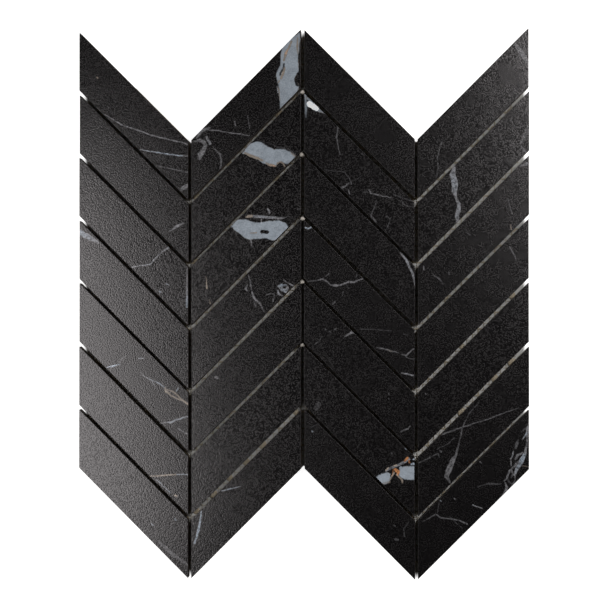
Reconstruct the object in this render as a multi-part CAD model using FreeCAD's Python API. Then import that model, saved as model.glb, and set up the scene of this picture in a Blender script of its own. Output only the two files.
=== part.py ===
import FreeCAD, Part
import math
import os
import random

# Sizes in millimetres, angles in degrees
strip_width = 25.4         # across a chip, between its two long edges
long_edge = 95.25          # along a chip's slanted edge
slant = 45.0               # slope of the long edges from the horizontal
joint = 2.0                # gap between neighbouring chips
chip_thickness = 9.0
face_arris = 0.4           # small bevel ground along the edges of the face
placing_play = 0.25        # how far a chip may sit off its true place
columns = 4
rows = 7

mesh_pitch = 10.2          # strand to strand, both ways
strand_width = 1.0
mesh_thickness = 0.5
mesh_inset = 5.0           # the mesh is cut this far inside the chips' outline

# Sizes that follow from those above
slope = math.tan(math.radians(slant))
stretch = 1.0 / math.cos(math.radians(slant))
chip_run = long_edge / stretch
chip_rise = chip_run * slope
side_edge = strip_width * stretch
row_pitch = (strip_width + joint) * stretch
column_pitch = chip_run + joint
sheet_width = columns * column_pitch - joint
side_height = (rows - 1) * row_pitch + side_edge
sheet_height = side_height + chip_rise


def flat_shape(points, bottom, height):
    """A flat solid standing on an outline."""
    corners = [FreeCAD.Vector(x, y, bottom) for x, y in points]
    outline = Part.makePolygon(corners + [corners[0]])
    return Part.Face(outline).extrude(FreeCAD.Vector(0, 0, height))


def column_left(column):
    """The x of a column's left side."""
    return -sheet_width / 2 + column * column_pitch


def falls_to_right(column):
    """The first column slopes down to the right and each next one turns back."""
    return column % 2 == 0


def chip_outline(column, row):
    """The four corners of a chip in its true place, rows counted from the top."""
    left = column_left(column)
    right = left + chip_run
    high = sheet_height / 2 - row * row_pitch
    low = high - chip_rise
    left_top, right_top = (high, low) if falls_to_right(column) else (low, high)
    return [(left, left_top - side_edge), (right, right_top - side_edge),
            (right, right_top), (left, left_top)]


def chip(column, row, placing):
    """One fired chip: a slanted block with a small bevel round its face."""
    block = flat_shape(chip_outline(column, row), mesh_thickness, chip_thickness)
    top = mesh_thickness + chip_thickness
    face_edges = [edge for edge in block.Edges if edge.BoundBox.ZMin > top - face_arris / 2]
    bevelled = block.makeChamfer(face_arris, face_edges)
    shift_x = placing.uniform(-placing_play, placing_play)
    shift_y = placing.uniform(-placing_play, placing_play)
    bevelled.translate(FreeCAD.Vector(shift_x, shift_y, 0))
    return bevelled


def mesh_outline(column):
    """The mesh below one column: inset at the sheet's edges, whole at the joints."""
    left = column_left(column) - joint / 2
    right = left + column_pitch
    top_mid = sheet_height / 2 - chip_rise / 2
    bottom_mid = top_mid - side_height
    middle = (left + right) / 2
    tilt = -slope if falls_to_right(column) else slope
    if column == 0:
        left += joint / 2 + mesh_inset
    if column == columns - 1:
        right -= joint / 2 + mesh_inset
    drop = mesh_inset * stretch
    return [(left, bottom_mid + drop + tilt * (left - middle)),
            (right, bottom_mid + drop + tilt * (right - middle)),
            (right, top_mid - drop + tilt * (right - middle)),
            (left, top_mid - drop + tilt * (left - middle))]


def strand_centres(half_length):
    """Strand places along one direction, evenly to both sides of the middle."""
    count = int(half_length / mesh_pitch + 0.5)
    return [(number + 0.5) * mesh_pitch for number in range(-count, count)]


def strand_grid(left, right):
    """Strands both ways over a strip of the sheet, fused where they cross."""
    half = strand_width / 2
    strands = []
    for x in strand_centres(sheet_width / 2):
        if left < x < right:
            strands.append(Part.makeBox(strand_width, sheet_height, mesh_thickness,
                                        FreeCAD.Vector(x - half, -sheet_height / 2, 0)))
    for y in strand_centres(sheet_height / 2):
        strands.append(Part.makeBox(right - left, strand_width, mesh_thickness,
                                    FreeCAD.Vector(left, y - half, 0)))
    return strands[0].fuse(strands[1:])


def mesh(column):
    """The open mesh that holds one column of chips, as a single piece."""
    outline = mesh_outline(column)
    xs = [x for x, y in outline]
    grid = strand_grid(min(xs), max(xs))
    cut = grid.common(flat_shape(outline, 0, mesh_thickness)).removeSplitter()
    return max(cut.Solids, key=lambda solid: solid.Volume)


os.makedirs("parts", exist_ok=True)
placing = random.Random(28)
for column in range(columns):
    for row in range(rows):
        name = "column_%d_chip_%d" % (column + 1, row + 1)
        chip(column, row, placing).exportStep("parts/%s.step" % name)
    mesh(column).exportStep("parts/mesh_column_%d.step" % (column + 1))
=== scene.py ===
import math

import bpy
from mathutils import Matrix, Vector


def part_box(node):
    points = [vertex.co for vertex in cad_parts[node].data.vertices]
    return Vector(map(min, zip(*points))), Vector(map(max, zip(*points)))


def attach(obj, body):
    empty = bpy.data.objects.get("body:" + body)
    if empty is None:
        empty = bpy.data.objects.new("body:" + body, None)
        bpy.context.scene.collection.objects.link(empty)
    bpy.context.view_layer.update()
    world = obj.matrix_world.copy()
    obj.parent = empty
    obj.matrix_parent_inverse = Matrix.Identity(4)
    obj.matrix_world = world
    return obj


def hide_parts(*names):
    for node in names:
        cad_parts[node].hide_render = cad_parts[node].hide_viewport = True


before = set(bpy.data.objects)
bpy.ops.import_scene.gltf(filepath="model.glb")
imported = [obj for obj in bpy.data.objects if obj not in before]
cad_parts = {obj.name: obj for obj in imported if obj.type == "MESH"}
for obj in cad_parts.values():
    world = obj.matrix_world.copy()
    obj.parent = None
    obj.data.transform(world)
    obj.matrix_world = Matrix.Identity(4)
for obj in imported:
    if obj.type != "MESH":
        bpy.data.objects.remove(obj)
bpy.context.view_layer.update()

# Sizes in metres unless a name or comment says millimetres
mm = 0.001
columns, rows = 4, 7
side_edge = 35.921 * mm          # a chip's upright edge
long_edge_run = 67.352 * mm      # a chip's width across the sheet
joint = 2.0 * mm
stretch = math.sqrt(2.0)         # the long edges slope at 45 degrees
column_pitch = long_edge_run + joint
sheet_width = columns * column_pitch - joint
side_height = (rows - 1) * (25.4 * mm + joint) * stretch + side_edge

chip_rings = 8                   # rings of points from a chip's foot to its face
face_arris = 0.16 * mm           # the worn rounding round a chip's face
face_rim = 0.6 * face_arris      # a narrow flat border inside it
side_rim = 3.0 * face_arris      # and a border down the side below it
foot_arris = 0.3 * mm
corner_round = 0.08 * mm
outline_step = 1.3 * mm          # length of one face along a chip's outline
nick_depth = 0.16 * mm
nick_share = 0.07

mesh_pitch = 10.2 * mm
mesh_inset = 5.0 * mm
mesh_thickness = 0.5 * mm
weft_width, weft_thickness = 1.0 * mm, 0.16 * mm
warp_width, warp_thickness = 0.5 * mm, 0.15 * mm
warp_spread = 0.3 * mm           # how far the twisted pair swings to each side
fine_width = 0.34 * mm           # the thin yarns between the thick ones
upright_yarns, level_yarns = 26, 32
upright_stations, level_stations = 198, 162      # points along a yarn, six to a pitch
top_z, middle_z, bottom_z = 0.42 * mm, 0.25 * mm, 0.08 * mm      # heights of the yarns
glue_radius = 3.1 * mm
glue_share = 0.5
bead_radius, bead_sides, bead_rings = 1.5 * mm, 16, 7
bead_heights = (7.9, 8.1, 8.4, 7.2, 7.0)     # millimetres, from the top crossing down

camera_place = (0.07526, -0.00835, 1.2)
camera_turn = (0.00903, 0.0645, -0.00047)
camera_lens = 117.05             # millimetres, on a sensor 36 mm wide
# Lamps: angle round from the right and angle up in degrees, distance, width and height in
# metres, and how bright each makes a level white card
left_box = (192.0, 53.0, 0.91, 0.46, 0.73, 0.31)
right_box = (30.0, 54.5, 0.89, 0.32, 0.38, 0.44)
room_light = 0.01
floor_height = -0.1 * mm
floor_reach = 4.0
floor_fade = 3.5 * mm
tip_fade = 4.0 * mm
floor_glow = 0.94

glaze_gloss = 1.0
roughness_low, roughness_high = 0.148, 0.294
even_low, even_high = 0.17, 0.278     # on the chips of the two right columns
grain_height = 0.052 * mm
dark_side_from = 5.2                  # millimetres above the ground, above which the body's sides are coloured dark
stroke_soft, patch_soft = 0.2, 0.45   # millimetres over which a mark's edge fades

# Kinds of mark in the glaze
mark_kinds = FROST, PATCH, RUST, TAN, HOLLOW = "Frost", "Patch", "Rust", "Tan", "Hollow"

# The print's marks by chip, as (column, row), and by kind. A mark is a row of points, and a
# point is four numbers: x and y from near the chip's middle and the width, all in tenths of a
# millimetre, and the strength in hundredths
marks = {
    (1, 1): {FROST: [
        (-203, 19, 6, 10, -77, -56, 7, 18, 115, -125, 7, 18, 344, -182, 6, 16), (35, -210, 6, 22,
         226, -242, 7, 34, 301, -252, 6, 30), (288, -249, 6, 13, 344, -255, 6, 15), (140, -310, 5, 9,
         338, -354, 5, 12), (282, -464, 12, 10, 313, -446, 28, 16, 350, -421, 18, 13)],
        TAN: [
        (-230, 236, 7, 36, -224, 233, 7, 36)]},
    (1, 2): {FROST: [
        (220, -326, 7, 10, 264, -298, 16, 18, 307, -277, 10, 13)]},
    (1, 3): {FROST: [
        (-15, -160, 7, 18, 97, -144, 9, 22, 162, -77, 7, 18, 214, -40, 9, 22), (330, -157, 7, 7,
         329, -292, 11, 17, 329, -403, 16, 32), (202, -264, 9, 24, 214, -271, 9, 20), (159, -308, 9, 25,
         166, -313, 9, 25)]},
    (1, 4): {FROST: [
        (-344, 447, 31, 28, -282, 412, 31, 24, -220, 379, 12, 18)]},
    (1, 5): {FROST: [
        (41, -28, 6, 13, 60, -56, 7, 18, 103, -77, 9, 22, 162, -104, 9, 26, 196, -132, 8, 26),
        (-170, -4, 6, 33, -132, 6, 10, 55, -89, 15, 7, 39), (-86, 30, 8, 18, -70, 55, 6, 13,
         -46, 70, 6, 10), (29, 52, 7, 23, 57, 54, 8, 23), (165, -344, 6, 15, 233, -338, 10, 24,
         270, -322, 10, 24, 342, -300, 9, 24), (270, -377, 6, 16, 332, -411, 6, 16), (264, -147, 6, 36,
         274, -129, 6, 36), (109, -89, 5, 24, 134, -126, 5, 21)],
        TAN: [
        (193, -126, 7, 19, 199, -150, 14, 29, 233, -177, 8, 24, 276, -197, 9, 27, 301, -205, 8, 24),
        (202, -138, 7, 17, 239, -150, 9, 27, 270, -172, 8, 25, 295, -199, 9, 25, 337, -229, 12, 37)]},
    (1, 6): {TAN: [
        (97, -285, 7, 30, 177, -279, 8, 38, 258, -272, 7, 30), (255, -399, 10, 41, 264, -405, 10, 41)],
        FROST: [
        (258, -272, 6, 28, 342, -272, 6, 30), (140, -304, 6, 27, 227, -383, 6, 27)]},
    (1, 7): {FROST: [
        (264, -88, 6, 10, 276, -100, 6, 10), (251, -155, 6, 40, 264, -167, 6, 40), (109, -187, 6, 36,
         122, -199, 6, 36), (147, -291, 10, 7, 196, -333, 20, 10, 239, -376, 22, 12, 295, -412, 15, 10,
         344, -449, 12, 9), (184, -358, 6, 3, 258, -333, 6, 3)]},
    (2, 1): {PATCH: [
        (327, 494, 12, 25, 312, 464, 43, 30, 290, 427, 68, 32, 274, 391, 111, 33, 267, 354, 111, 33,
         267, 317, 108, 34, 266, 280, 113, 34, 244, 244, 117, 32, 246, 207, 108, 33, 261, 170, 120, 33,
         256, 133, 111, 33, 239, 97, 71, 32, 223, 60, 31, 30, 209, 29, 6, 25)],
        HOLLOW: [
        (317, 249, 15, 95, 309, 213, 28, 100, 314, 182, 25, 95), (232, 308, 10, 90, 229, 281, 12, 90,
         211, 256, 12, 90, 208, 241, 10, 90), (337, 439, 15, 100, 331, 390, 16, 100, 327, 341, 21, 100,
         331, 292, 16, 100, 336, 261, 14, 100), (208, 379, 12, 80, 192, 348, 25, 85, 186, 306, 31, 80)],
        TAN: [
        (278, 446, 10, 18, 263, 412, 12, 24, 244, 373, 17, 26, 233, 330, 12, 20), (235, 287, 9, 20,
         226, 250, 16, 26, 214, 220, 12, 24), (316, 470, 9, 20, 314, 415, 11, 22, 317, 372, 7, 14),
        (197, 164, 7, 16, 203, 128, 7, 17, 208, 85, 6, 12), (204, 207, 10, 22, 198, 195, 10, 18)],
        RUST: [
        (263, 412, 6, 10, 244, 373, 8, 14)],
        FROST: [
        (190, 171, 7, 20, 195, 134, 7, 24), (-257, -90, 6, 8, -177, -97, 7, 14, -122, -107, 6, 11,
         -48, -118, 9, 13, 20, -129, 6, 7), (-319, -163, 12, 8, -288, -154, 18, 12, -264, -164, 22, 13,
         -251, -188, 22, 14, -264, -219, 28, 15, -282, -243, 31, 17, -288, -268, 18, 12),
        (-307, -145, 9, 8, -288, -114, 18, 14, -257, -90, 18, 15, -227, -81, 12, 12),
        (-245, -136, 15, 16, -224, -176, 18, 20), (-202, -204, 7, 6, -161, -242, 11, 11,
         -154, -281, 11, 11, -162, -349, 8, 7), (-72, -42, 6, 13, -65, -67, 6, 14), (8, -6, 6, 5,
         20, -86, 6, 6)]},
    (2, 2): {PATCH: [
        (-17, 151, 12, 30, 14, 162, 46, 33, 44, 170, 83, 35, 69, 168, 105, 36, 100, 151, 98, 35,
         131, 133, 105, 35, 161, 119, 95, 35, 192, 133, 83, 34, 223, 138, 71, 33, 253, 121, 74, 33,
         278, 119, 49, 30, 296, 124, 9, 20)],
        FROST: [
        (100, 222, 9, 2, 149, 206, 10, 2, 204, 184, 12, 3, 253, 174, 15, 3, 296, 143, 18, 3)],
        TAN: [
        (-8, 151, 12, 22, 26, 136, 15, 26, 63, 121, 15, 25, 100, 105, 14, 20), (122, 88, 12, 20,
         149, 76, 16, 26, 180, 72, 12, 20), (192, 86, 11, 20, 208, 95, 10, 20, 226, 88, 10, 18,
         237, 67, 9, 14), (275, 150, 8, 12, 302, 127, 9, 14)],
        RUST: [
        (137, 77, 7, 12, 174, 71, 7, 14)]},
    (2, 3): {PATCH: [
        (-88, 88, 12, 30, -66, 94, 43, 34, -42, 91, 80, 36, -11, 82, 95, 37, 20, 64, 111, 37,
         50, 61, 98, 37, 81, 61, 97, 37, 112, 67, 95, 37, 143, 66, 111, 37, 167, 60, 117, 37,
         192, 65, 117, 37, 211, 69, 95, 36, 220, 73, 71, 30)],
        HOLLOW: [
        (97, 55, 22, 100, 130, 53, 22, 100)],
        TAN: [
        (26, 47, 7, 26, 63, 47, 7, 26), (-2, 143, 9, 23, 14, 149, 16, 33, 32, 151, 17, 27),
        (-248, -219, 5, 13, -245, -249, 6, 23, -243, -289, 10, 36), (-229, -360, 6, 12,
         -223, -384, 7, 19)],
        FROST: [
        (94, 133, 6, 12, 94, 112, 6, 20), (32, 151, 16, 19, 100, 147, 16, 21, 161, 142, 17, 19,
         210, 139, 15, 16, 235, 139, 9, 10, 259, 151, 6, 6), (130, 197, 9, 14, 137, 185, 14, 19,
         143, 170, 11, 17), (29, 8, 8, 17, 32, -17, 8, 14, 34, -35, 7, 8), (315, 193, 7, 7,
         337, 198, 7, 7)]},
    (2, 4): {FROST: [
        (14, 174, 6, 10, 26, 131, 8, 17, 32, 88, 6, 10), (4, 113, 9, 16, -5, 91, 10, 17, 7, 79, 7, 11),
        (35, 76, 9, 13, 41, 51, 12, 17, 57, 24, 12, 17, 84, 2, 9, 14, 100, -28, 7, 11, 109, -47, 6, 7),
        (47, 15, 6, 14, 58, -16, 7, 14), (195, 109, 12, 21, 216, 116, 16, 29, 244, 115, 10, 27),
        (210, 106, 22, 20, 219, 88, 20, 23, 241, 79, 21, 23, 254, 94, 15, 18, 249, 109, 10, 15),
        (192, 82, 12, 21, 200, 60, 12, 19, 219, 51, 9, 15), (173, 57, 6, 9, 165, 15, 7, 9),
        (229, 143, 6, 9, 278, 116, 10, 19, 290, 110, 9, 18), (124, 57, 6, 9, 167, 63, 6, 11)]},
    (2, 5): {FROST: [
        (-190, -60, 14, 16, -177, -68, 14, 16)]},
    (2, 7): {FROST: [
        (-153, 15, 6, 25, -91, 31, 7, 27, -36, 43, 6, 22), (-276, -111, 9, 27, -292, -215, 15, 37,
         -319, -308, 10, 27)]},
    (3, 2): {FROST: [
        (-306, 449, 34, 190, -263, 421, 31, 190), (-130, 313, 7, 8, -140, 243, 9, 9, -131, 198, 7, 8,
         -120, 138, 6, 5), (-208, 45, 6, 4, -175, 40, 6, 3, -88, 31, 6, 3, -60, -10, 7, 5,
         -49, -43, 7, 6), (-38, -26, 6, 2, 16, 9, 6, 2), (-107, -64, 14, 12, -88, -56, 10, 10,
         -66, -37, 7, 7), (-66, -78, 7, 10, -60, -103, 7, 10), (21, -92, 6, 3, 49, -92, 6, 4),
        (57, -79, 7, 9, 70, -98, 10, 13, 103, -106, 9, 11, 136, -117, 9, 11, 163, -120, 7, 9,
         190, -128, 7, 8), (207, -109, 6, 4, 245, -121, 8, 5, 283, -137, 7, 4, 339, -153, 6, 4),
        (256, -147, 9, 5, 266, -164, 7, 4, 299, -181, 6, 3, 343, -186, 6, 3), (103, -147, 7, 5,
         92, -191, 7, 5, 70, -232, 9, 7, 87, -256, 9, 7, 105, -278, 7, 5), (163, -240, 6, 5,
         190, -256, 6, 5, 179, -284, 7, 6, 166, -322, 6, 4), (12, 143, 9, 4, 21, 139, 9, 4)],
        PATCH: [
        (-330, 513, 11, 25, -328, 409, 12, 20, -327, 366, 6, 8), (-250, 409, 18, 25, -214, 396, 9, 20),
        (-318, 483, 12, 25, -263, 439, 18, 25)]},
    (3, 3): {FROST: [
        (252, -79, 12, 17, 283, -117, 15, 21, 309, -172, 12, 20, 326, -209, 12, 20,
         342, -281, 10, 16)]},
    (3, 4): {FROST: [
        (-330, 466, 10, 31, -315, 458, 9, 32, -291, 470, 9, 32, -275, 462, 9, 26), (-318, 138, 6, 5,
         -263, 143, 7, 7, -227, 151, 12, 13, -197, 135, 8, 10, -181, 116, 8, 11, -143, 110, 14, 15,
         -115, 115, 9, 13, -66, 134, 12, 14, -33, 132, 10, 13, -6, 143, 9, 12, 33, 159, 9, 12),
        (-86, 124, 6, 3, -68, 96, 6, 3), (-101, 75, 6, 5, -104, 48, 6, 5), (-24, 161, 6, 5,
         -15, 179, 6, 4), (-163, -1, 9, 7, -150, 14, 9, 7), (-203, 169, 6, 9, -187, 185, 6, 7),
        (4, -154, 6, 4, 92, -157, 6, 4, 190, -165, 6, 4), (106, -267, 7, 9, 157, -277, 9, 12,
         200, -290, 9, 13, 238, -298, 7, 10), (260, -309, 7, 9, 282, -318, 9, 11, 314, -285, 8, 11,
         340, -268, 7, 10), (282, -323, 6, 5, 298, -334, 6, 5, 338, -338, 6, 6), (255, -421, 7, 16,
         292, -429, 9, 21, 340, -438, 7, 18), (282, -105, 7, 21, 303, -119, 7, 21), (268, -185, 6, 4,
         292, -190, 6, 4)],
        TAN: [
        (170, -281, 6, 8, 197, -290, 6, 8)]},
    (3, 5): {FROST: [
        (-211, 231, 8, 7, -205, 228, 8, 7), (-184, 218, 9, 5, -177, 213, 9, 4), (-156, 229, 8, 9,
         -146, 235, 8, 8), (-89, 186, 6, 8, -56, 207, 15, 17, -23, 222, 20, 21), (-274, 140, 7, 5,
         -246, 162, 7, 4, -230, 184, 6, 3), (175, -160, 7, 6, 178, -165, 7, 6), (175, -188, 6, 6,
         178, -193, 6, 6), (251, -391, 7, 8, 294, -374, 9, 12, 308, -357, 6, 8), (-68, 132, 6, 2,
         -52, 126, 6, 2)],
        TAN: [
        (285, -102, 11, 64, 303, -122, 9, 56)]},
    (3, 6): {PATCH: [
        (108, -284, 12, 38, 127, -288, 40, 40, 151, -291, 68, 42, 167, -280, 52, 40),
        (279, -257, 78, 42, 315, -255, 83, 42, 346, -256, 83, 42), (252, -226, 18, 40,
         252, -260, 18, 40)],
        FROST: [
        (163, -242, 12, 21, 188, -228, 14, 20, 218, -216, 14, 18, 255, -199, 15, 20, 279, -187, 16, 20,
         300, -171, 15, 23), (315, -202, 12, 46, 339, -200, 12, 46), (325, -174, 10, 53,
         334, -171, 10, 53), (-251, 161, 31, 4, -267, 135, 25, 4), (279, -108, 9, 31, 300, -111, 12, 55,
         303, -120, 10, 37), (193, -135, 9, 6, 197, -140, 9, 6)],
        HOLLOW: [
        (196, -233, 25, 95, 194, -254, 18, 95, 191, -278, 9, 95), (261, -207, 9, 80, 303, -199, 9, 80),
        (218, -278, 12, 100, 218, -321, 55, 100)],
        RUST: [
        (218, -236, 15, 30, 233, -251, 25, 38, 233, -265, 15, 32), (273, -184, 11, 26,
         291, -166, 14, 30), (300, -181, 9, 20, 303, -193, 8, 18), (205, -236, 7, 16,
         196, -272, 7, 14)],
        TAN: [
        (160, -239, 8, 36, 175, -227, 8, 36), (209, -214, 7, 43, 224, -209, 7, 43), (209, -254, 9, 27,
         197, -275, 9, 27, 186, -297, 8, 23), (224, -266, 10, 24, 242, -284, 10, 24, 258, -302, 11, 24,
         261, -318, 7, 18), (145, -320, 12, 12, 181, -313, 12, 12)]},
    (3, 7): {FROST: [
        (-293, 408, 6, 3, -251, 428, 6, 3), (-291, 383, 8, 27, -287, 379, 8, 27), (297, -168, 6, 4,
         268, -211, 7, 4, 272, -254, 7, 5), (218, -275, 12, 7, 232, -277, 12, 7), (208, -189, 7, 6,
         215, -192, 7, 6)]},
    (4, 1): {FROST: [
        (-184, -155, 6, 5, -206, -223, 6, 5, -220, -269, 7, 7, -213, -323, 6, 6, -223, -388, 6, 4),
        (255, 414, 18, 9, 291, 365, 28, 12, 322, 316, 22, 10, 340, 280, 15, 8), (267, 335, 7, 4,
         310, 396, 7, 4)]},
    (4, 2): {FROST: [
        (-119, 52, 21, 18, -128, 9, 33, 21, -117, -24, 37, 22, -112, -51, 39, 22, -117, -89, 30, 20,
         -107, -128, 12, 16, -90, -165, 21, 20, -89, -198, 27, 20, -100, -230, 27, 20,
         -96, -286, 16, 18), (325, 278, 31, 5, 291, 205, 18, 4), (289, 181, 10, 10, 316, 148, 10, 11)]},
    (4, 3): {FROST: [
        (289, 450, 10, 12, 321, 464, 16, 20), (207, 253, 6, 6, 223, 187, 6, 7, 234, 155, 6, 5),
        (-302, -160, 7, 17, -302, -181, 7, 14), (-248, -210, 6, 4, -205, -236, 10, 9, -185, -267, 6, 4),
        (-151, -193, 6, 12, -149, -209, 6, 12), (-43, 46, 6, 6, -21, 31, 6, 6)],
        TAN: [
        (223, 90, 7, 20, 229, 63, 7, 22)]},
    (4, 4): {FROST: [
        (218, 347, 6, 9, 245, 299, 8, 12, 256, 271, 7, 11), (309, 214, 9, 2, 326, 187, 9, 2)]},
    (4, 5): {FROST: [
        (-293, -159, 6, 12, -288, -163, 6, 12)]},
    (4, 6): {FROST: [
        (-193, -20, 8, 11, -69, 23, 8, 10, 75, 70, 7, 9, 211, 121, 6, 7, 270, 140, 5, 4),
        (33, 176, 5, 3, -18, 121, 7, 5, -48, 69, 6, 5, -69, 18, 8, 9, -86, -59, 7, 6,
         -108, -144, 14, 10, -129, -178, 28, 13, -155, -246, 33, 14, -167, -272, 25, 11,
         -142, -319, 7, 7), (-334, -196, 6, 7, -274, -166, 6, 6, -218, -136, 7, 7, -210, -161, 6, 4),
        (-204, -121, 11, 6, -198, -126, 11, 6), (-222, -110, 5, 4, -154, -76, 6, 4, -116, -41, 6, 4)]},
    (4, 7): {FROST: [
        (-308, -163, 6, 4, -231, -120, 7, 9, -202, -141, 8, 11, -129, -149, 7, 10, -87, -157, 7, 11,
         -40, -178, 8, 11), (-221, -109, 5, 4, -212, -54, 6, 4), (-119, -23, 9, 14, -113, -28, 9, 13),
        (-203, -37, 7, 26, -198, -42, 7, 26), (-6, -63, 8, 23, 49, -81, 6, 15), (23, 48, 6, 3,
         92, 70, 7, 6, 159, 66, 6, 4), (37, 200, 7, 13, 45, 194, 7, 13), (340, 476, 9, 12,
         334, 428, 14, 18, 327, 397, 21, 18, 321, 367, 17, 15, 323, 331, 10, 14, 318, 294, 10, 16,
         312, 264, 16, 18, 302, 240, 23, 22), (302, 240, 23, 28, 291, 215, 27, 28, 280, 191, 25, 25,
         265, 167, 20, 25, 254, 143, 17, 22, 245, 124, 10, 19), (330, 410, 9, 6, 302, 397, 10, 6,
         288, 379, 6, 3), (322, 379, 10, 27, 305, 355, 9, 27, 296, 340, 6, 16), (270, 334, 9, 6,
         258, 306, 20, 10, 254, 288, 15, 7), (239, 264, 7, 18, 235, 239, 9, 21, 224, 221, 7, 16,
         226, 179, 9, 18), (294, 258, 8, 14, 266, 242, 14, 15, 250, 219, 11, 11), (282, 209, 12, 14,
         257, 191, 16, 13, 239, 167, 12, 12, 215, 145, 14, 13), (215, 145, 14, 19, 205, 124, 11, 17,
         197, 102, 11, 17, 182, 85, 7, 11), (199, 97, 10, 6, 215, 78, 10, 5, 236, 61, 7, 4),
        (225, 155, 10, 7, 237, 130, 14, 8, 227, 106, 10, 7), (249, 128, 9, 10, 250, 94, 7, 8,
         238, 70, 10, 10, 242, 52, 7, 8), (191, 72, 9, 14, 199, 45, 14, 15, 187, 15, 17, 18,
         173, -12, 14, 15), (223, 45, 7, 7, 209, 27, 9, 7), (94, 65, 10, 5, 161, 68, 10, 5),
        (264, 191, 6, 10, 278, 169, 7, 12), (-148, -136, 5, 4, -70, -205, 5, 4)],
        TAN: [
        (295, 177, 6, 8, 341, 168, 6, 8)]},
}


def reckoning(operation, turned=False):
    """The sum of a value and another one, or the two the other way round."""
    def result(self, other):
        return calc(operation, *((other, self) if turned else (self, other)))
    return result


class Value:
    """A node's output, with which sums can be written."""

    def __init__(self, socket):
        self.socket, self.tree = socket, socket.id_data

    __add__, __radd__ = reckoning("ADD"), reckoning("ADD", True)
    __sub__, __rsub__ = reckoning("SUBTRACT"), reckoning("SUBTRACT", True)
    __mul__, __rmul__ = reckoning("MULTIPLY"), reckoning("MULTIPLY", True)
    __truediv__ = reckoning("DIVIDE")


def feed(socket, value):
    """Gives a node's input a number, colour or material, or the output of another node."""
    if isinstance(value, Value):
        value.tree.links.new(value.socket, socket)
    else:
        socket.default_value = value


def put(tree, kind, inputs=None, **options):
    """Adds a node with its options and inputs set."""
    made = tree.nodes.new(kind)
    for name, value in options.items():
        setattr(made, name, value)
    for key, value in (inputs or {}).items():
        feed(made.inputs[key], value)
    return made


def get(tree, kind, inputs=None, output=0, **options):
    """One output of a new node."""
    return Value(put(tree, kind, inputs, **options).outputs[output])


def home(*values):
    """The tree that these values belong to."""
    return next(value.tree for value in values if isinstance(value, Value))


def calc(operation, *values):
    """The result of one sum."""
    return get(home(*values), "ShaderNodeMath", dict(enumerate(values)), operation=operation)


def vector(operation, *values, output="Vector"):
    """The result of one vector sum."""
    return get(home(*values), "ShaderNodeVectorMath", dict(enumerate(values)), output,
               operation=operation)


def measure(operation, *values):
    """The number that a vector sum gives, such as a length."""
    return vector(operation, *values, output="Value")


def scaled(arrow, factor):
    """A vector made longer or shorter."""
    return get(home(arrow, factor), "ShaderNodeVectorMath", {0: arrow, "Scale": factor},
               "Vector", operation="SCALE")


def xyz(x=0.0, y=0.0, z=0.0):
    """A vector from three numbers."""
    return get(home(x, y, z), "ShaderNodeCombineXYZ", {0: x, 1: y, 2: z})


def split(arrow):
    """The three numbers of a vector."""
    return [Value(end) for end in put(arrow.tree, "ShaderNodeSeparateXYZ", {0: arrow}).outputs]


def ramp(value, low, high, to_low=0.0, to_high=1.0, smooth=True):
    """A value carried from one range into another and held at both ends."""
    return get(value.tree, "ShaderNodeMapRange",
               {"Value": value, "From Min": low, "From Max": high, "To Min": to_low,
                "To Max": to_high}, interpolation_type="SMOOTHSTEP" if smooth else "LINEAR")


def open_tree(name, kind, inputs, outputs):
    """An empty node group, a way to get each of its inputs, and its outputs to be fed."""
    tree = bpy.data.node_groups.new(name, kind)
    for label, socket, value in inputs:
        made = tree.interface.new_socket(name=label, in_out="INPUT", socket_type=socket)
        if value is not None:
            made.default_value = value
    for label, socket in outputs:
        tree.interface.new_socket(name=label, in_out="OUTPUT", socket_type=socket)
    entry = tree.nodes.new("NodeGroupInput").outputs
    return tree, lambda label: Value(entry[label]), tree.nodes.new("NodeGroupOutput").inputs


def grown(name, tree, values):
    """A plain mesh object from a geometry tree whose named inputs get these values."""
    seedling = bpy.data.objects.new(name + "_seedling", bpy.data.meshes.new(name + "_seedling"))
    bpy.context.collection.objects.link(seedling)
    modifier = seedling.modifiers.new(tree.name, "NODES")
    modifier.node_group = tree
    for item in tree.interface.items_tree:
        if item.in_out == "INPUT" and item.name in values:
            modifier[item.identifier] = values[item.name]
    seedling.update_tag()
    seen = bpy.context.evaluated_depsgraph_get()
    shape = bpy.data.meshes.new_from_object(seedling.evaluated_get(seen), depsgraph=seen)
    shape.name = name
    if shape.materials and shape.materials[0] is None:
        shape.materials.pop(index=0)
    bpy.data.objects.remove(seedling)
    return shown(name, shape)


def shown(name, data):
    """A new object in the scene for a shape, lamp or camera."""
    made = bpy.data.objects.new(name, data)
    bpy.context.collection.objects.link(made)
    return made


FLOAT, INTEGER, SWITCH = "NodeSocketFloat", "NodeSocketInt", "NodeSocketBool"
VECTOR, COLOUR, FINISH, SHAPE = (
    "NodeSocketVector", "NodeSocketColor", "NodeSocketMaterial", "NodeSocketGeometry")


def either(test, if_false, if_true, kind="FLOAT"):
    """One of two numbers or vectors, by a yes or no."""
    return get(test.tree, "GeometryNodeSwitch",
               {"Switch": test, "False": if_false, "True": if_true}, input_type=kind)


def chance(identity, seed):
    """An even random number from 0 to 1 for each identity."""
    return get(identity.tree, "FunctionNodeRandomValue", {"ID": identity, "Seed": seed},
               "Value", data_type="FLOAT")


def moved(shape, **where):
    """A shape with its points moved by an Offset or to a Position."""
    return get(shape.tree, "GeometryNodeSetPosition", dict(Geometry=shape, **where))


def coated(shape, finish, **choice):
    """A shape with a finish on it, or on its chosen part."""
    return get(shape.tree, "GeometryNodeSetMaterial",
               dict(Geometry=shape, **choice, Material=finish))


def smoothed(shape):
    """A shape whose faces are shaded as one round surface."""
    return get(shape.tree, "GeometryNodeSetShadeSmooth", {"Geometry": shape})


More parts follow.
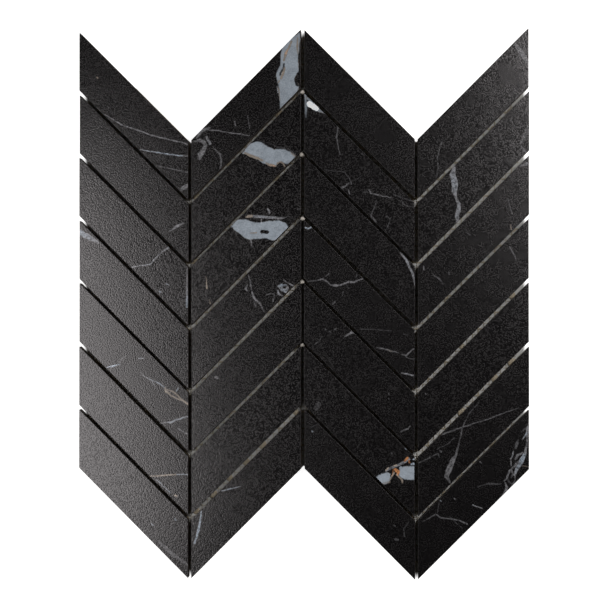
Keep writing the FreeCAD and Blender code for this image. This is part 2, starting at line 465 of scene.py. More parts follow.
def joined(tree, parts):
    """Several shapes as one."""
    made = put(tree, "GeometryNodeJoinGeometry")
    for part in parts:
        feed(made.inputs[0], part)
    return Value(made.outputs[0])


def made_real(shape):
    """A shape with every repeat of it made real."""
    return get(shape.tree, "GeometryNodeRealizeInstances", {"Geometry": shape})


def noted(shape, *fields):
    """A shape that carries along what its points have now, given as name, kind and source."""
    made = put(shape.tree, "GeometryNodeCaptureAttribute", {"Geometry": shape}, domain="POINT")
    for name, kind, _ in fields:
        made.capture_items.new(kind, name)
    for name, _, source in fields:
        feed(made.inputs[name], get(shape.tree, source))
    return {end.name: Value(end) for end in made.outputs if end.name}


def chip_corners(given):
    """The four corners of a chip, anticlockwise from its lower left one."""
    shoulder = given("High") - given("Side Edge")
    left = either(given("Falls To Right"), given("Low"), shoulder)
    right = either(given("Falls To Right"), shoulder, given("Low"))
    left_top, right_top = left + given("Side Edge"), right + given("Side Edge")
    return [xyz(given("Left"), left), xyz(given("Right"), right),
            xyz(given("Right"), right_top), xyz(given("Left"), left_top)]


def chip_outline(tree, given):
    """A chip's outline as a closed line, rounded at the corners and cut into short steps."""
    points = {"Point %d" % (i + 1): at for i, at in enumerate(chip_corners(given))}
    square = get(tree, "GeometryNodeCurvePrimitiveQuadrilateral", points, mode="POINTS")
    rounded = get(tree, "GeometryNodeFilletCurve",
                  {"Curve": square, "Count": 3, "Radius": given("Corner Round")}, mode="POLY")
    along = put(tree, "GeometryNodeSplineParameter").outputs
    done, index = Value(along["Length"]), Value(along["Index"])
    whole = get(tree, "GeometryNodeSplineLength", output="Length")
    ahead = get(tree, "GeometryNodeFieldAtIndex", {"Index": index + 1.0, "Value": done},
                data_type="FLOAT", domain="POINT")
    gap, last = ahead - done, whole - done
    is_last = get(tree, "FunctionNodeCompare", {0: gap, 1: 0.0},
                  data_type="FLOAT", operation="LESS_EQUAL")
    cuts = calc("ROUND", either(is_last, gap, last) / given("Step"))
    return get(tree, "GeometryNodeSubdivideCurve", {"Curve": rounded, "Cuts": cuts})


def drawn_in(given, place, inset, height):
    """A place on the outline drawn in towards the chip's middle, the same way off each edge."""
    x, y, _ = split(place)
    run = given("Right") - given("Left")
    middle_x = (given("Right") + given("Left")) * 0.5
    middle_y = (given("High") + given("Low")) * 0.5
    slope = (given("High") - given("Low") - given("Side Edge")) / run
    slope = either(given("Falls To Right"), slope, slope * -1.0)
    across = x - middle_x
    up = y - middle_y - slope * across
    across = across * (1.0 - inset * 2.0 / run)
    up = up * (1.0 - inset * (2.0 * stretch) / given("Side Edge")) + slope * across
    return xyz(middle_x + across, middle_y + up, height)


def edge_profile(given, ring):
    """How far in and how high each ring round a chip lies, from its foot to its face."""
    turn = ramp(ring, 3.0, 6.0, smooth=False) * (math.pi / 2)
    bend_in = given("Face Arris") * (1.0 - calc("COSINE", turn))
    bend_up = given("Face Arris") * (calc("SINE", turn) - 1.0)
    is_foot, is_lower = calc("LESS_THAN", ring, 0.5), calc("LESS_THAN", ring, 1.5)
    is_below = calc("COMPARE", ring, 2.0, 0.1)
    is_last = calc("GREATER_THAN", ring, 6.5)
    inset = bend_in + is_foot * given("Foot Arris") + is_last * face_rim
    top_side = given("Top") + bend_up - is_below * side_rim
    foot = given("Bottom") + given("Foot Arris") * (1.0 - is_foot)
    return inset, either(is_lower, top_side, foot)


def chip_wall(tree, given, outline):
    """The skin round a chip from its foot over the arris to the edge of its face, with nicks."""
    edge = noted(outline, ("Place", "VECTOR", "GeometryNodeInputPosition"),
                 ("Number", "INT", "GeometryNodeInputIndex"))
    line = get(tree, "GeometryNodeCurvePrimitiveLine", {"Start": (0, 0, 0), "End": (0, 0.01, 0)})
    many = get(tree, "GeometryNodeResampleCurve", {"Curve": line, "Count": chip_rings})
    rungs = noted(many, ("Ring", "INT", "GeometryNodeInputIndex"))
    skin = get(tree, "GeometryNodeCurveToMesh",
               {"Curve": edge["Geometry"], "Profile Curve": rungs["Geometry"]})
    inset, height = edge_profile(given, rungs["Ring"])
    luck = chance(edge["Number"], given("Seed"))
    on_arris = calc("COMPARE", rungs["Ring"], 4.5, 0.6)
    nick = ramp(luck, 1.0 - given("Nick Share"), 1.0) * on_arris
    deep = nick * given("Nick Depth")
    spot = drawn_in(given, edge["Place"], inset + deep, height - deep)
    wall = get(tree, "GeometryNodeFlipFaces", {"Mesh": moved(skin, Position=spot)})
    return get(tree, "GeometryNodeStoreNamedAttribute",
               {"Geometry": wall, "Name": "worn", "Value": nick},
               data_type="FLOAT", domain="POINT")


def chip_flat(tree, given, outline, ring_number):
    """The flat face or back that closes a chip inside one of its rings."""
    ring = get(tree, "ShaderNodeValue")
    ring.socket.default_value = ring_number
    inset, height = edge_profile(given, ring)
    place = get(tree, "GeometryNodeInputPosition")
    edge = moved(outline, Position=drawn_in(given, place, inset, 0.0))
    flat = get(tree, "GeometryNodeFillCurve", {"Curve": edge}, mode="NGONS")
    return moved(flat, Offset=xyz(z=height))


def chip_tree():
    """Grows one chip between given sides, with a glazed face on a bare body."""
    tree, given, out = open_tree("chip", "GeometryNodeTree", [
        ("Left", FLOAT, 0.0), ("Right", FLOAT, 0.06), ("Low", FLOAT, 0.0), ("High", FLOAT, 0.1),
        ("Bottom", FLOAT, 0.0), ("Top", FLOAT, 0.009), ("Falls To Right", SWITCH, False),
        ("Side Edge", FLOAT, side_edge), ("Face Arris", FLOAT, face_arris),
        ("Foot Arris", FLOAT, foot_arris), ("Corner Round", FLOAT, corner_round),
        ("Step", FLOAT, outline_step), ("Nick Depth", FLOAT, nick_depth),
        ("Nick Share", FLOAT, nick_share), ("Seed", INTEGER, 1),
        ("Glaze", FINISH, None), ("Body", FINISH, None)], [("Chip", SHAPE)])
    outline = chip_outline(tree, given)
    wall = chip_wall(tree, given, outline)
    face = chip_flat(tree, given, outline, chip_rings - 1.0)
    back = get(tree, "GeometryNodeFlipFaces", {"Mesh": chip_flat(tree, given, outline, 0.0)})
    closed = get(tree, "GeometryNodeMergeByDistance",
                 {"Geometry": joined(tree, (wall, face, back)), "Distance": 0.001 * mm})
    height = split(get(tree, "GeometryNodeInputPosition"))[2]
    glazed = calc("GREATER_THAN", height, given("Top") - 0.2 * face_arris)
    coat = coated(coated(closed, given("Body")), given("Glaze"), Selection=glazed)
    facing = split(get(tree, "GeometryNodeInputNormal"))[2]
    curved = calc("COMPARE", facing, 0.5, 0.49)
    shaded = get(tree, "GeometryNodeSetShadeSmooth", {"Geometry": coat, "Shade Smooth": curved},
                 domain="FACE")
    feed(out[0], made_real(shaded))
    return tree


def middle_line(x):
    """The height of the sheet's zigzag middle line above a place along its width."""
    folded = calc("PINGPONG", x + (sheet_width + joint) / 2, column_pitch)
    return column_pitch / 2 - folded


def depths(x, y, middle):
    """How far a place lies below a slanted edge of the sheet, and in from an upright one."""
    from_slant = side_height / 2 - calc("ABSOLUTE", y - middle)
    return from_slant, sheet_width / 2 - calc("ABSOLUTE", x)


def depth_inside(place):
    """How far a place lies inside the outline of the sheet of chips, in metres."""
    x, y, _ = split(place)
    from_slant, from_side = depths(x, y, middle_line(x))
    return calc("MINIMUM", from_slant / stretch, from_side)


def without(shape, test, domain="POINT", mode="ALL"):
    """A shape less the parts that a test picks."""
    return get(shape.tree, "GeometryNodeDeleteGeometry", {"Geometry": shape, "Selection": test},
               domain=domain, mode=mode)


def spaced(number, count, gap):
    """A place in a row of equal gaps that is centred on nought."""
    return (number - (count - 1.0) / 2.0) * gap


def ranks(tree, count, length):
    """Points in ranks of one length, with each point's number, its rank and its place in it."""
    line = get(tree, "GeometryNodeMeshLine", {"Count": count * length}, mode="OFFSET")
    index = get(tree, "GeometryNodeInputIndex")
    rank = calc("FLOOR", (index + 0.5) / length)
    return line, index, rank, index - rank * length


def yarn_lines(tree, given):
    """The middle lines of the yarns, each cut off inside the sheet's outline."""
    line, _, yarn, station = ranks(tree, given("Yarns"), given("Stations"))
    across = spaced(yarn, given("Yarns"), given("Gap"))
    along = spaced(station, given("Stations"), given("Step"))
    place = either(given("Upright"), xyz(along, across, given("Height")),
                   xyz(across, along, given("Height")), "VECTOR")
    first = get(tree, "GeometryNodeInputMeshEdgeVertices", output="Vertex Index 1")
    after = calc("MODULO", first + 1.0, given("Stations"))
    parted = without(moved(line, Position=place), calc("LESS_THAN", after, 0.5),
                     "EDGE", "EDGE_FACE")
    here = get(tree, "GeometryNodeInputPosition")
    outside = calc("LESS_THAN", depth_inside(here), given("Inset"))
    skipped = calc("COMPARE", calc("MODULO", yarn, given("Cycle")), given("Left Out"), 0.5)
    kept = without(parted, calc("MAXIMUM", outside, skipped))
    return get(tree, "GeometryNodeMeshToCurve", {"Mesh": kept})


def yarn_tree():
    """Parallel yarns laid one way across the sheet and cut off inside its outline."""
    tree, given, out = open_tree("yarns", "GeometryNodeTree", [
        ("Upright", SWITCH, False), ("Yarns", INTEGER, 32), ("Gap", FLOAT, mesh_pitch),
        ("Cycle", INTEGER, 1000), ("Left Out", INTEGER, 999), ("Stations", INTEGER, 200),
        ("Step", FLOAT, mesh_pitch / 6), ("Width", FLOAT, 1 * mm), ("Thickness", FLOAT, 0.2 * mm),
        ("Height", FLOAT, 0.25 * mm), ("Swing", FLOAT, 0.0), ("Phase", FLOAT, 0.0),
        ("Wander", FLOAT, 0.1 * mm), ("Sides", INTEGER, 6), ("Inset", FLOAT, mesh_inset)],
        [("Yarns", SHAPE)])
    strands = yarn_lines(tree, given)
    here = get(tree, "GeometryNodeInputPosition")
    x, y, _ = split(here)
    run = either(given("Upright"), x, y)
    turn = given("Phase") + (run / mesh_pitch - 0.5) * math.pi
    drift = get(tree, "ShaderNodeTexNoise", {"Vector": here, "Scale": 60.0, "Detail": 1.0})
    sway = calc("COSINE", turn) * given("Swing") + (drift - 0.5) * given("Wander")
    beside = either(given("Upright"), xyz(y=sway), xyz(x=sway), "VECTOR")
    ring = get(tree, "GeometryNodeCurvePrimitiveCircle",
               {"Resolution": given("Sides"), "Radius": 0.5})
    oval = get(tree, "GeometryNodeTransform",
               {"Geometry": ring, "Scale": xyz(given("Width"), given("Thickness"), 1.0)})
    skin = get(tree, "GeometryNodeCurveToMesh", {"Curve": moved(strands, Offset=beside),
                                                 "Profile Curve": oval, "Fill Caps": True})
    feed(out[0], smoothed(skin))


def cloth_tree(name, sets):
    """Several sets of yarns as one piece."""
    tree, given, out = open_tree(name, "GeometryNodeTree", [("Yarn", FINISH, None)],
                                 [("Mesh", SHAPE)])
    yarns = bpy.data.node_groups["yarns"]
    parts = (get(tree, "GeometryNodeGroup", values, node_tree=yarns) for values in sets)
    feed(out[0], coated(made_real(joined(tree, parts)), given("Yarn")))
    return tree


def thin_ones(thick, yarns, stations):
    """Two thin single yarns in each gap between the thick ones."""
    thin = dict(thick, Yarns=3 * yarns - 2, Gap=mesh_pitch / 3, Cycle=3,
                Stations=stations // 3, Step=mesh_pitch / 2, Width=fine_width,
                Height=middle_z, Swing=0.0, Sides=4)
    thin["Left Out"] = 0
    return thin


def warp_sets():
    """The upright yarns: pairs that twist about each weft, and thin single ones between."""
    pair = {"Upright": True, "Yarns": upright_yarns, "Stations": upright_stations,
            "Width": warp_width, "Thickness": warp_thickness, "Swing": warp_spread,
            "Sides": 5}
    return [dict(pair, Height=top_z), dict(pair, Height=bottom_z, Phase=math.pi),
            thin_ones(pair, upright_yarns, upright_stations)]


def weft_sets():
    """The level yarns: one flat one at each pitch, and thin ones between."""
    flat = {"Upright": False, "Yarns": level_yarns, "Stations": level_stations,
            "Width": weft_width, "Thickness": weft_thickness, "Height": middle_z}
    return [flat, thin_ones(flat, level_yarns, level_stations)]


def glue_tree():
    """Flattened spots of glue at some of the mesh's crossings."""
    tree, given, out = open_tree("glue", "GeometryNodeTree", [
        ("Across", INTEGER, upright_yarns), ("Up", INTEGER, level_yarns),
        ("Gap", FLOAT, mesh_pitch), ("Share", FLOAT, glue_share), ("Radius", FLOAT, glue_radius),
        ("Thickness", FLOAT, 0.46 * mm), ("Seed", INTEGER, 5), ("Glue", FINISH, None)],
        [("Spots", SHAPE)])
    line, index, row, number = ranks(tree, given("Up"), given("Across"))
    place = xyz(spaced(number, given("Across"), given("Gap")),
                spaced(row, given("Up"), given("Gap")), mesh_thickness / 2)
    here = get(tree, "GeometryNodeInputPosition")
    outside = calc("LESS_THAN", depth_inside(here), mesh_inset + glue_radius)
    unlucky = calc("GREATER_THAN", chance(index, given("Seed")), given("Share"))
    kept = without(moved(line, Position=place), calc("MAXIMUM", outside, unlucky))
    ball = get(tree, "GeometryNodeMeshUVSphere", {"Segments": 10, "Rings": 4, "Radius": 1.0})
    wide = given("Radius") * ramp(chance(index, given("Seed") + 1.0), 0, 1, 0.6, 1.0, False)
    spots = get(tree, "GeometryNodeInstanceOnPoints",
                {"Points": kept, "Instance": ball,
                 "Scale": xyz(wide, wide, given("Thickness") * 0.5)})
    ripple = get(tree, "ShaderNodeTexNoise", {"Vector": here, "Scale": 300.0}, "Color")
    ripple = vector("MULTIPLY", vector("SUBTRACT", ripple, (0.5, 0.5, 0.5)),
                    (3.0 * mm, 3.0 * mm, 0.0))
    feed(out[0], coated(smoothed(moved(made_real(spots), Offset=ripple)), given("Glue")))
    return tree


def noise(place, size, detail=2.0, roughness=0.5, warp=0.0, output="Fac"):
    """A cloudy pattern whose patches are about so many millimetres across."""
    return get(place.tree, "ShaderNodeTexNoise",
               {"Vector": place, "Scale": 1.0 / size, "Detail": detail,
                "Roughness": roughness, "Distortion": warp}, output)


def blend(share, first, second):
    """One colour passing into another."""
    return get(share.tree, "ShaderNodeMix", {0: share, 6: first, 7: second}, 2,
               data_type="RGBA")


def place_in_mm(tree):
    """A point's place on the sheet in millimetres."""
    at = get(tree, "ShaderNodeTexCoord", output="Object")
    return get(tree, "ShaderNodeMapping", {"Vector": at, "Scale": (1 / mm,) * 3})


def uneven(height, strength, distance):
    """A bumped normal from a height pattern, the distance in metres."""
    return get(height.tree, "ShaderNodeBump",
               {"Height": height, "Strength": strength, "Distance": distance})


def use(tree, group, inputs=None):
    """A node that stands for one of this file's own groups."""
    return put(tree, "ShaderNodeGroup", inputs, node_tree=bpy.data.node_groups[group]).outputs


def new_finish(name, **constants):
    """An empty material, its tree and its shader's inputs, with the fixed ones among them set."""
    made = bpy.data.materials.new(name)
    made.use_nodes = True
    shader = made.node_tree.nodes["Principled BSDF"].inputs
    dress(shader, **constants)
    return made, made.node_tree, shader


def dress(shader, **looks):
    """Feeds a shader's named inputs."""
    for key, value in looks.items():
        feed(shader[key.replace("_", " ")], value)


def wavering_group():
    """Where a point lies on the print, pushed about a little so that no mark runs straight."""
    tree, _, out = open_tree("wavering", "ShaderNodeTree", [], [("Place", VECTOR)])
    level = (1.0, 1.0, 0.0)
    place = vector("MULTIPLY", place_in_mm(tree), level)
    for size, reach in ((3.0, 0.8), (1.0, 0.6)):
        push = vector("SUBTRACT", noise(place, size, 1.0, output="Color"), (0.5, 0.5, 0.5))
        place = vector("ADD", place, scaled(push, reach))
    feed(out[0], vector("MULTIPLY", place, level))


def stroke_group():
    """One straight length of a mark, fading from one width and strength to another."""
    tree, given, out = open_tree("stroke", "ShaderNodeTree", [
        ("Place", VECTOR, None), ("From", VECTOR, None), ("To", VECTOR, None),
        ("From Width", FLOAT, 1.0), ("To Width", FLOAT, 1.0), ("From Strength", FLOAT, 0.1),
        ("To Strength", FLOAT, 0.1), ("Soft", FLOAT, 0.2), ("Behind", FLOAT, 0.0)],
        [("Strength", FLOAT)])
    run = vector("SUBTRACT", given("To"), given("From"))
    reach = vector("SUBTRACT", given("Place"), given("From"))
    share = measure("DOT_PRODUCT", reach, run) / measure("DOT_PRODUCT", run, run)
    share = ramp(share, 0.0, 1.0, smooth=False)
    off = measure("DISTANCE", reach, scaled(run, share))
    half = 0.5 * ramp(share, 0.0, 1.0, given("From Width"), given("To Width"), False)
    level = ramp(share, 0.0, 1.0, given("From Strength"), given("To Strength"), False)
    mark = ramp(off, half - given("Soft"), half + given("Soft"), level, 0.0)
    feed(out[0], calc("MAXIMUM", mark, given("Behind")))


def marble_group():
    """The black glaze's colour, roughness and surface, with the marks that its print carries."""
    tree, given, out = open_tree(
        "black marble glaze", "ShaderNodeTree",
        [(label, FLOAT, 0.0) for label in mark_kinds + ("Chip", "Evenness")],
        [("Colour", COLOUR), ("Roughness", FLOAT), ("Normal", VECTOR)])
    place = vector("ADD", place_in_mm(tree), xyz(z=given("Chip")))
    speck = noise(place, 0.7, 0.0)
    feed(out["Colour"], print_colour(given, place))
    wear = ramp(noise(place, 9.0, 3.0), 0.3, 0.7, 0.96, 1.04)
    low, high = (ramp(given("Evenness"), 0.0, 1.0, common, even, False)
                 for common, even in ((roughness_low, even_low), (roughness_high, even_high)))
    feed(out["Roughness"], ramp(speck, 0.46, 0.62, low, high) * wear)
    feed(out["Normal"], uneven(speck, 1.0, grain_height))


def print_colour(given, place):
    """The print: a black ground with frosty strokes, pale patches, and rusty and tan streaks."""
    cloud = noise(place, 16.0, 4.0, 0.6)
    mottle = noise(place, 1.5, 3.0, 0.65, 0.6)
    streak = noise(place, 4.5, 3.0, 0.55, 0.8)
    ground = blend(ramp(cloud, 0.35, 0.7), (0.0014, 0.0011, 0.0013, 1),
                   (0.0022, 0.0017, 0.0019, 1))
    ground = scaled(ground, ramp(noise(place, 1.2, 1.0, 0.7), 0.40, 0.72, 0.75, 2.0))
    tint = blend(ramp(given(FROST), 0.15, 0.30), (0.99, 0.97, 1.02, 1), (0.84, 0.97, 1.14, 1))
    frost = scaled(tint, given(FROST) * ramp(mottle, 0.36, 0.62, 0.4, 1.5))
    body = given(PATCH) * ramp(streak, 0.32, 0.62, 0.86, 1.08)
    body = body * ramp(mottle, 0.3, 0.65, 0.94, 1.05) * (1.0 - given(HOLLOW))
    rusty = given(RUST) * ramp(mottle, 0.38, 0.55, 0.25, 1.15)
    hem = ramp(given(PATCH), 0.02, 0.10) * ramp(given(PATCH), 0.14, 0.26, 1.0, 0.0)
    hem = hem * ramp(streak, 0.50, 0.60, 0.0, 0.10)
    tanned = calc("MAXIMUM", given(TAN) * ramp(mottle, 0.3, 0.6, 0.6, 1.1), hem)
    veil = 1.0 - calc("MINIMUM", 1.0, calc("MAXIMUM", rusty, tanned) * 5.0)
    pale = scaled(vector("ADD", frost, scaled((0.89, 1.0, 1.13), body)), veil)
    warm = vector("ADD", scaled((1.60, 0.68, 0.28), rusty), scaled((1.12, 0.94, 0.78), tanned))
    total = vector("ADD", vector("ADD", ground, pale), warm)
    return vector("MINIMUM", total, (0.92, 0.92, 0.92))


def bare_body():
    """The fired body where it has no glaze: tan, dark above a wavering height up its sides, dusty at
    the back.
    """
    made, tree, shader = new_finish("fired porcelain body", Specular_IOR_Level=0.3)
    place = place_in_mm(tree)
    grain = noise(place, 0.6, 3.0, 0.7)
    colour = blend(ramp(noise(place, 9.0, 5.0, 0.6), 0.35, 0.65), (0.21, 0.165, 0.115, 1),
                   (0.29, 0.235, 0.17, 1))
    colour = blend(ramp(grain, 0.55, 0.75), colour, (0.38, 0.32, 0.25, 1))
    height = split(place)[2]
    # The sides are coloured dark above a wavering height near the set level
    wavering_height = height + ramp(noise(place, 5.0, 3.0), 0.3, 0.7, -1.5, 1.5, False)
    colour = blend(ramp(wavering_height, dark_side_from - 0.5, dark_side_from + 0.5), colour,
                   (0.018, 0.014, 0.012, 1))
    dust = ramp(height, 0.55, 0.62, 1.0, 0.0, False) * ramp(noise(place, 14.0, 5.0, 0.7),
                                                            0.42, 0.62, 0.1, 0.75)
    saw = get(tree, "ShaderNodeMapping", {"Vector": place, "Scale": (0.6, 0.6, 6.0)})
    dress(shader, Base_Color=blend(dust, colour, (0.42, 0.39, 0.34, 1)),
          Roughness=ramp(grain, 0.3, 0.7, 0.72, 0.9),
          Normal=uneven(grain + noise(saw, 1.0, 2.0), 0.5, 0.08 * mm))
    return made


def coated_yarn():
    """Glass-fibre yarn in a dull off-white coating, with fine threads and stained places."""
    made, tree, shader = new_finish("coated glass yarn", Specular_IOR_Level=0.3)
    place = place_in_mm(tree)
    stain = noise(place, 11.0, 4.0, 0.6)
    thread = noise(place, 0.35, 2.0)
    colour = blend(ramp(stain, 0.35, 0.7), (0.60, 0.54, 0.43, 1), (0.54, 0.475, 0.365, 1))
    colour = blend(ramp(thread, 0.35, 0.6, 0.45, 0.0), colour, (0.36, 0.29, 0.20, 1))
    dress(shader, Base_Color=colour, Roughness=ramp(stain, 0.3, 0.7, 0.55, 0.75),
          Normal=uneven(thread, 0.6, 0.08 * mm))
    return made


def dried_glue(name, pale, deep):
    """Dried glue: cloudy and a little shiny."""
    made, tree, shader = new_finish(name, Specular_IOR_Level=0.5)
    place = place_in_mm(tree)
    cloud = noise(place, 2.4, 3.0)
    dress(shader, Base_Color=blend(ramp(cloud, 0.35, 0.65), pale, deep),
          Roughness=ramp(cloud, 0.3, 0.7, 0.32, 0.5),
          Normal=uneven(noise(place, 0.9, 2.0), 0.4, 0.1 * mm))
    return made


def points_of(mark, column, row):
    """The points of one mark: place and width in millimetres, and strength."""
    left, up = 694 * column - 1734, 1549 - 387 * row
    return [(((x + left) / 10, (y + up) / 10, 0.0), width / 10, strength / 100)
            for x, y, width, strength in zip(*(mark[i::4] for i in range(4)))]


def layer_of(place, column, row, kind):
    """The strongest of all of a chip's marks of one kind at a place."""
    level = 0.0
    for mark in marks.get((column, row), {}).get(kind, ()):
        points = points_of(mark, column, row)
        for start, end in zip(points, points[1:]):
            level = Value(use(place.tree, "stroke", {
                "Place": place, "From": start[0], "To": end[0], "From Width": start[1],
                "To Width": end[1], "From Strength": start[2], "To Strength": end[2],
                "Soft": patch_soft if kind == PATCH else stroke_soft, "Behind": level})[0])
    return level


def glaze_for(column, row):
    """The glaze of one chip, with the marks that were printed on it."""
    made, tree, shader = new_finish("black marble glaze %d %d" % (column, row),
                                    Specular_IOR_Level=glaze_gloss,
                                    Specular_Tint=(1.0, 0.95, 0.955, 1.0))
    place = Value(use(tree, "wavering")[0])
    layers = {kind: layer_of(place, column, row, kind) for kind in mark_kinds}
    look = use(tree, "black marble glaze", dict(
        layers, Chip=37.0 * column + 11.0 * row, Evenness=1.0 if column > 2 else 0.0))
    worn = get(tree, "ShaderNodeAttribute", output="Fac", attribute_name="worn")
    upward = split(get(tree, "ShaderNodeTexCoord", output="Normal"))[2]
    rubbed = calc("MAXIMUM", ramp(upward, 0.975, 0.998, 0.6, 0.0),
                  ramp(worn, 0.1, 0.4, 0.0, 0.7))
    dress(shader, Base_Color=blend(ramp(worn, 0.1, 0.4), Value(look["Colour"]),
                                   (0.022, 0.017, 0.012, 1)),
          Roughness=calc("MAXIMUM", Value(look["Roughness"]), rubbed),
          Normal=Value(look["Normal"]))
    return made


def declared(piece, slot, *nodes):
    """Parents a finished piece to the root body and hides the model parts that it replaces."""
    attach(piece, "root")
    if nodes:
        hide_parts(*nodes)


def make_chips():
    """The 28 chips, each grown where the frame has it."""
    tree = chip_tree()
    wavering_group()
    stroke_group()
    marble_group()
    body = bare_body()
    for column in range(1, columns + 1):
        for row in range(1, rows + 1):
            node = "column_%d_chip_%d" % (column, row)
            low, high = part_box(node)
            piece = grown("chip_%d_%d" % (column, row), tree, {
                "Left": low[0], "Right": high[0], "Low": low[1], "High": high[1],
                "Bottom": low[2], "Top": high[2], "Falls To Right": column % 2 == 1,
                "Seed": 10 * column + row, "Glaze": glaze_for(column, row), "Body": body})
            declared(piece, "porcelain", node)


def make_mesh():
    """The glass-fibre mesh and the glue that holds the chips on it."""
    yarn_tree()
    yarn = coated_yarn()
    warp = grown("mesh_warp", cloth_tree("warp", warp_sets()), {"Yarn": yarn})
    declared(warp, "mesh", *["mesh_column_%d" % (i + 1) for i in range(columns)])
    weft = grown("mesh_weft", cloth_tree("weft", weft_sets()), {"Yarn": yarn})
    declared(weft, "mesh")
    glue = dried_glue("dried glue", (0.62, 0.54, 0.41, 1), (0.53, 0.44, 0.31, 1))
    declared(grown("glue_spots", glue_tree(), {"Glue": glue}), "mesh")
    pale = dried_glue("pale dried glue", (0.52, 0.48, 0.43, 1), (0.30, 0.27, 0.23, 1))
    declared(glue_beads(pale), "mesh")


def bead_reach(turn, share):
    """How far a drop reaches: further down into the two joints that slant away from it."""
    into_rising = max(0.0, math.cos(turn - math.radians(225.0))) ** 4
    into_falling = max(0.0, math.cos(turn - math.radians(315.0))) ** 4
    spread = 1.0 + (1.0 - 0.5 * share) * (0.9 * into_rising + 0.6 * into_falling)
    return bead_radius * spread * (1.0 - 0.12 * share) * math.sqrt(1.0 - share ** 6)


def bead_point(foot, height, ring, step, seed):
    """One point on a drop of glue with a blunt top, a little out of round."""
    share = ring / bead_rings
    turn = math.radians(360.0 / bead_sides * step)
    reach = bead_reach(turn, share)
    reach *= 0.88 + 0.12 * math.sin(2.3 * seed + 1.7 * step + 0.9 * ring)
    lean = 0.35 * mm * share * math.sin(seed)
    return (foot[0] + lean + reach * math.cos(turn),
            foot[1] - lean + reach * math.sin(turn),
            foot[2] + height * math.sin(0.5 * math.pi * share))


def bead_faces(first):
    """The skin of one drop, whose points begin at the number given."""
    foot = first + bead_rings * bead_sides
    faces, top, last = [], foot + 1, foot - bead_sides
    for step in range(bead_sides):
        after = (step + 1) % bead_sides
        for low in range(first, last, bead_sides):
            faces.append((low + step, low + after, low + bead_sides + after,
                          low + bead_sides + step))
        faces.append((foot, first + after, first + step))
        faces.append((top, last + step, last + after))
    return faces


def glue_beads(finish):
    """Glue squeezed up where the joints meet on the middle line, one drop at a crossing."""
    points, faces = [], []
    for row, height in enumerate(bead_heights):
        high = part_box("column_2_chip_%d" % (row + 2))[1]
        foot = (high[0] + 0.35 * joint, high[1] + 0.5 * joint, 0.3 * mesh_thickness)
        faces += bead_faces(len(points))
        points += [bead_point(foot, height * mm - foot[2], ring, step, 3.0 * row + 1.0)
                   for ring in range(bead_rings) for step in range(bead_sides)]
        points += [foot, (foot[0], foot[1], height * mm)]
    shape = bpy.data.meshes.new("glue_beads")
    shape.from_pydata(points, [], faces)
    shape.polygons.foreach_set("use_smooth", [True] * len(shape.polygons))
    shape.materials.append(finish)
    return shown("glue_beads", shape)


def ray_kinds(tree):
    """Whether a ray comes from the camera itself, and whether by way of a gloss or glass."""
    path = put(tree, "ShaderNodeLightPath").outputs
    mirrored = calc("MAXIMUM", Value(path["Is Glossy Ray"]), Value(path["Is Transmission Ray"]))
    return Value(path["Is Camera Ray"]), mirrored


def clear_floor(at):
    """One on the floor outside the sheet, fading a little way into the joints' open ends."""
    x, y, _ = split(at)
    middle = middle_line(x)
    from_slant, from_side = depths(x, y, middle)
    at_tip = calc("GREATER_THAN", y * middle, 0.0)
    reach = 0.1 * mm + at_tip * tip_fade
    below_slant = ramp(from_slant / reach, 0.0, 1.0, 1.0, 0.0)
    beside = ramp(from_side, 0.3 * floor_fade, floor_fade, 1.0, 0.0)
    return calc("MAXIMUM", below_slant, beside)


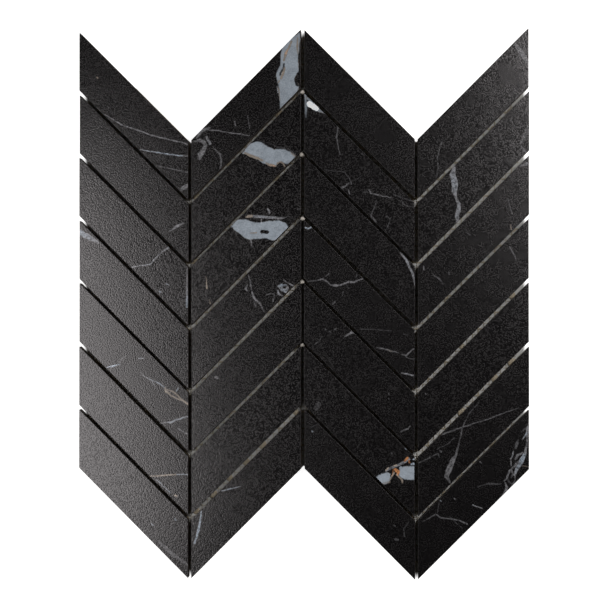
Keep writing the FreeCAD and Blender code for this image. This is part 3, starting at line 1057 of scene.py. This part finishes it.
def make_floor():
    """A plain white floor, which keeps its own shade below the sheet's joints."""
    shape = bpy.data.meshes.new("floor")
    far = floor_reach
    corners = [(-far, -far), (far, -far), (far, far), (-far, far)]
    shape.from_pydata([(x, y, floor_height) for x, y in corners], [], [(0, 1, 2, 3)])
    floor = shown("floor", shape)
    made, tree, shader = new_finish("white floor", Roughness=0.9, Specular_IOR_Level=0.1,
                                    Emission_Color=(1, 1, 1, 1))
    open_floor = clear_floor(get(tree, "ShaderNodeTexCoord", output="Object"))
    fibre = noise(place_in_mm(tree), 3.0, 2.0)
    direct = calc("MAXIMUM", *ray_kinds(tree))
    dress(shader, Base_Color=blend(fibre, (0.80, 0.79, 0.77, 1), (0.76, 0.75, 0.73, 1)),
          Emission_Strength=direct * (open_floor * floor_glow))
    shape.materials.append(made)


def make_world():
    """White all round for the camera, and an almost dark room for the light itself."""
    world = bpy.data.worlds.new("studio")
    bpy.context.scene.world = world
    world.use_nodes = True
    tree = world.node_tree
    tree.nodes.clear()
    direct, mirrored = ray_kinds(tree)
    up = split(get(tree, "ShaderNodeTexCoord", output="Generated"))[2]
    horizon = ramp(calc("ABSOLUTE", up), 0.1, 0.45, 1.0, room_light)
    level = ramp(mirrored, 0.0, 1.0, room_light, horizon, False)
    sky = get(tree, "ShaderNodeBackground",
              {"Color": (1, 1, 1, 1), "Strength": calc("MAXIMUM", level, direct)})
    feed(tree.nodes.new("ShaderNodeOutputWorld").inputs["Surface"], sky)


def soft_box(name, azimuth, elevation, distance, width, height, level):
    """An oblong lamp that faces the sheet. Level is how bright it makes a level white card."""
    data = bpy.data.lights.new(name, "AREA")
    data.shape = "RECTANGLE"
    data.size, data.size_y = height, width
    turn, lean = math.radians(azimuth), math.radians(elevation)
    up = math.sin(lean)
    data.energy = level * (math.pi * distance) ** 2 / up
    lamp = shown(name, data)
    lamp.location = (distance * math.cos(lean) * math.cos(turn),
                     distance * math.cos(lean) * math.sin(turn), distance * up)
    lamp.rotation_euler = (0.0, math.pi / 2 - lean, turn)
    lamp.visible_camera = False


def make_camera():
    """A long lens almost straight above the face."""
    data = bpy.data.cameras.new("camera")
    data.sensor_width = 36.0
    data.lens = camera_lens
    data.clip_start, data.clip_end = 0.05, 20.0
    camera = shown("camera", data)
    camera.location = camera_place
    camera.rotation_euler = camera_turn
    bpy.context.scene.camera = camera


make_camera()
make_chips()
make_mesh()
make_floor()
make_world()
soft_box("left soft box", *left_box)
soft_box("right soft box", *right_box)
bpy.context.scene.view_settings.view_transform = "Standard"
